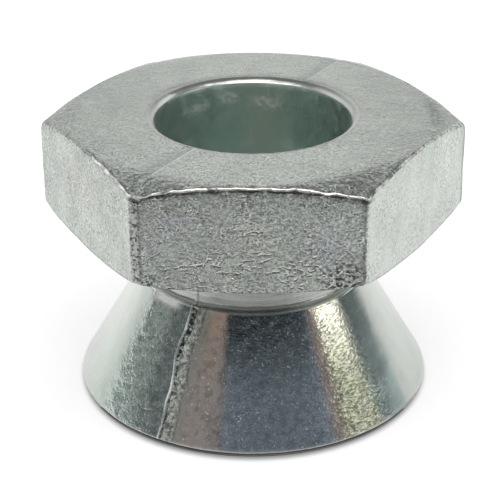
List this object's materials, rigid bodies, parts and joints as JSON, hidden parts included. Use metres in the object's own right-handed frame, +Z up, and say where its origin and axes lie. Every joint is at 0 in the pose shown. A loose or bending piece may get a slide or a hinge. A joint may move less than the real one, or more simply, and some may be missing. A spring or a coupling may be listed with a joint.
{
  "type": "shear nut",
  "caption": "Zinc die-cast shear nut: double-chamfered hex head on a thin breakaway neck above a smooth threaded cone, clear bore through the head",
  "frame": {"origin": "Centre of the flat round base of the cone, on the bolt axis", "axes": "+Z runs up the bolt axis from the cone to the hex head; -Y is the outward normal of the hex flat that faces the camera in the picture; +X passes through the hex corner on the picture's right"},
  "size_m": [0.0218, 0.019, 0.0147],
  "materials": {
    "zinc": "as-cast zinc alloy with a bright clear-passivated surface; satin on the hex, smoother on the cone"
  },
  "bodies": {
    "root": {"shear_nut": "zinc"}
  },
  "joints": []
}
